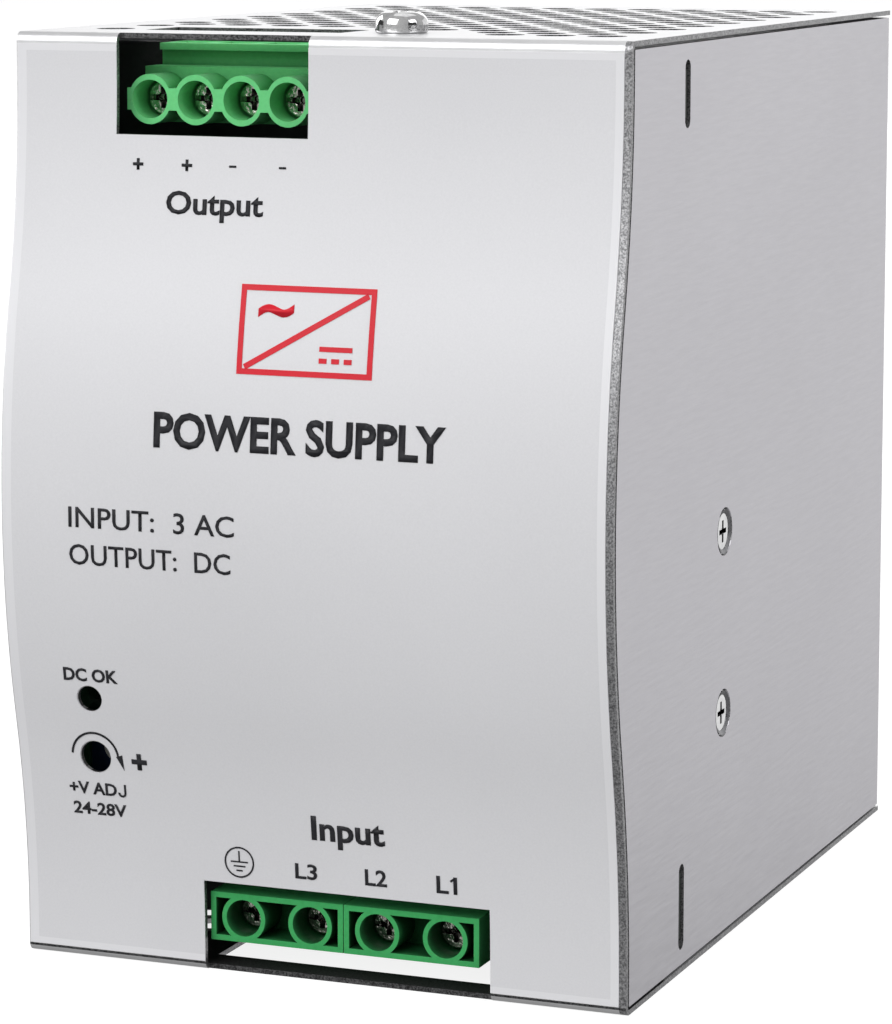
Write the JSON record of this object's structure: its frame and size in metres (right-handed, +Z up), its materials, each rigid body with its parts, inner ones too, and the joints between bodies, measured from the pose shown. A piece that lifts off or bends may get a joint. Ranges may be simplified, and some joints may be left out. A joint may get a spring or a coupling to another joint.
{
  "type": "din rail power supply",
  "caption": "Enclosed power supply for a 35 mm rail: perforated folded case with a waved front, screw terminals above and below, sprung rail latch.",
  "frame": {"origin": "bottom centre of the bounding box, under the middle of the case", "axes": "+Z up, +Y towards the rail at the back, -Y the labelled front, +X the side with the two countersunk screws"},
  "size_m": [0.086, 0.1338, 0.1278],
  "materials": {
    "sheet_metal": "satin folded sheet",
    "label_film": "printed silver film",
    "green_plastic": "moulded polyamide",
    "nickel_screw": "nickel plated",
    "steel_clamp": "zinc plated",
    "tinned_contact": "tinned",
    "circuit_board": "solder mask",
    "brass_insert": "zinc plated",
    "zinc_screw": "zinc plated",
    "insulator": "film",
    "lamp": "tinted",
    "black_plastic": "moulded",
    "blue_plastic": "moulded",
    "white_plastic": "moulded",
    "heat_sink": "extruded",
    "ferrite": "sintered",
    "tape": "wound tape",
    "copper_wire": "enamelled",
    "can_sleeve": "sleeved can",
    "film_box": "moulded box",
    "varistor_blue": "dipped",
    "ceramic": "ceramic tube",
    "clip_steel": "zinc plated",
    "dark_ink": "printed ink",
    "red_ink": "printed ink"
  },
  "bodies": {
    "case": {"front_shell": "sheet_metal", "rear_shell": "sheet_metal", "front_label": "label_film", "output_terminal_housing": "green_plastic", "input_terminal_housing_left": "green_plastic", "input_terminal_housing_right": "green_plastic", "terminal_contacts": "tinned_contact", "output_board": "circuit_board", "input_board": "circuit_board", "main_board": "circuit_board", "pressed_inserts": "brass_insert", "board_screws": "zinc_screw", "insulation_sheet": "insulator", "top_bracket": "clip_steel", "status_led": "lamp", "led_holder": "black_plastic", "trimmer_body": "blue_plastic", "transistor_sink": "heat_sink", "power_transistors": "black_plastic", "rectifier_sink": "heat_sink", "output_rectifiers": "black_plastic", "transformer_core": "ferrite", "transformer_bobbin": "black_plastic", "transformer_winding": "tape", "input_choke_core": "ferrite", "input_choke_windings": "copper_wire", "output_choke_core": "film_box", "output_choke_windings": "copper_wire", "bulk_capacitors": "can_sleeve", "output_capacitors": "can_sleeve", "film_capacitors": "film_box", "varistors": "varistor_blue", "fuses": "ceramic", "fuse_clips": "tinned_contact", "inrush_relay": "black_plastic", "control_card": "circuit_board", "side_screws": "nickel_screw", "top_screw": "nickel_screw", "rear_screws": "zinc_screw", "clip_screws": "zinc_screw", "rail_bracket": "clip_steel", "latch_spring": "zinc_screw"},
    "output_screw_1": {"output_screw_1": "nickel_screw"},
    "output_clamp_1": {"output_clamp_1": "steel_clamp"},
    "output_screw_2": {"output_screw_2": "nickel_screw"},
    "output_clamp_2": {"output_clamp_2": "steel_clamp"},
    "output_screw_3": {"output_screw_3": "nickel_screw"},
    "output_clamp_3": {"output_clamp_3": "steel_clamp"},
    "output_screw_4": {"output_screw_4": "nickel_screw"},
    "output_clamp_4": {"output_clamp_4": "steel_clamp"},
    "input_screw_1": {"input_screw_1": "nickel_screw"},
    "input_clamp_1": {"input_clamp_1": "steel_clamp"},
    "input_screw_2": {"input_screw_2": "nickel_screw"},
    "input_clamp_2": {"input_clamp_2": "steel_clamp"},
    "input_screw_3": {"input_screw_3": "nickel_screw"},
    "input_clamp_3": {"input_clamp_3": "steel_clamp"},
    "input_screw_4": {"input_screw_4": "nickel_screw"},
    "input_clamp_4": {"input_clamp_4": "steel_clamp"},
    "trimmer": {"trimmer_rotor": "white_plastic"},
    "latch": {"rail_latch": "clip_steel"}
  },
  "joints": [
    {"name": "output_screw_1_turn", "type": "hinge", "parent": "case", "child": "output_screw_1", "pos_m": [-0.0252, -0.05298, 0.11625], "axis": [0, 1, 0], "range_deg": [0, 1800]},
    {"name": "output_clamp_1_lift", "type": "slide", "parent": "case", "child": "output_clamp_1", "axis": [0, -1, 0], "range_m": [0, 0.0025]},
    {"name": "output_screw_2_turn", "type": "hinge", "parent": "case", "child": "output_screw_2", "pos_m": [-0.0186, -0.05298, 0.11625], "axis": [0, 1, 0], "range_deg": [0, 1800]},
    {"name": "output_clamp_2_lift", "type": "slide", "parent": "case", "child": "output_clamp_2", "axis": [0, -1, 0], "range_m": [0, 0.0025]},
    {"name": "output_screw_3_turn", "type": "hinge", "parent": "case", "child": "output_screw_3", "pos_m": [-0.012, -0.05298, 0.11625], "axis": [0, 1, 0], "range_deg": [0, 1800]},
    {"name": "output_clamp_3_lift", "type": "slide", "parent": "case", "child": "output_clamp_3", "axis": [0, -1, 0], "range_m": [0, 0.0025]},
    {"name": "output_screw_4_turn", "type": "hinge", "parent": "case", "child": "output_screw_4", "pos_m": [-0.0054, -0.05298, 0.11625], "axis": [0, 1, 0], "range_deg": [0, 1800]},
    {"name": "output_clamp_4_lift", "type": "slide", "parent": "case", "child": "output_clamp_4", "axis": [0, -1, 0], "range_m": [0, 0.0025]},
    {"name": "input_screw_1_turn", "type": "hinge", "parent": "case", "child": "input_screw_1", "pos_m": [-0.01137, -0.05538, 0.0074], "axis": [0, 1, 0], "range_deg": [0, 1800]},
    {"name": "input_clamp_1_lift", "type": "slide", "parent": "case", "child": "input_clamp_1", "axis": [0, -1, 0], "range_m": [0, 0.0025]},
    {"name": "input_screw_2_turn", "type": "hinge", "parent": "case", "child": "input_screw_2", "pos_m": [-0.00172, -0.05538, 0.0074], "axis": [0, 1, 0], "range_deg": [0, 1800]},
    {"name": "input_clamp_2_lift", "type": "slide", "parent": "case", "child": "input_clamp_2", "axis": [0, -1, 0], "range_m": [0, 0.0025]},
    {"name": "input_screw_3_turn", "type": "hinge", "parent": "case", "child": "input_screw_3", "pos_m": [0.00792, -0.05538, 0.0074], "axis": [0, 1, 0], "range_deg": [0, 1800]},
    {"name": "input_clamp_3_lift", "type": "slide", "parent": "case", "child": "input_clamp_3", "axis": [0, -1, 0], "range_m": [0, 0.0025]},
    {"name": "input_screw_4_turn", "type": "hinge", "parent": "case", "child": "input_screw_4", "pos_m": [0.01758, -0.05538, 0.0074], "axis": [0, 1, 0], "range_deg": [0, 1800]},
    {"name": "input_clamp_4_lift", "type": "slide", "parent": "case", "child": "input_clamp_4", "axis": [0, -1, 0], "range_m": [0, 0.0025]},
    {"name": "trimmer_turn", "type": "hinge", "parent": "case", "child": "trimmer", "pos_m": [-0.0315, -0.05638, 0.02845], "axis": [0, 1, 0], "range_deg": [-130, 130]},
    {"name": "latch_slide", "type": "slide", "parent": "case", "child": "latch", "axis": [0, 0, -1], "range_m": [0, 0.0038], "stiffness_N_per_m": 1500, "springref_m": -0.003, "deforming": ["latch_spring"]}
  ],
  "couplings": [
    {"joint": "output_screw_1_turn", "follows": "output_clamp_1_lift", "rad_per_m": 12566},
    {"joint": "output_screw_2_turn", "follows": "output_clamp_2_lift", "rad_per_m": 12566},
    {"joint": "output_screw_3_turn", "follows": "output_clamp_3_lift", "rad_per_m": 12566},
    {"joint": "output_screw_4_turn", "follows": "output_clamp_4_lift", "rad_per_m": 12566},
    {"joint": "input_screw_1_turn", "follows": "input_clamp_1_lift", "rad_per_m": 12566},
    {"joint": "input_screw_2_turn", "follows": "input_clamp_2_lift", "rad_per_m": 12566},
    {"joint": "input_screw_3_turn", "follows": "input_clamp_3_lift", "rad_per_m": 12566},
    {"joint": "input_screw_4_turn", "follows": "input_clamp_4_lift", "rad_per_m": 12566}
  ]
}
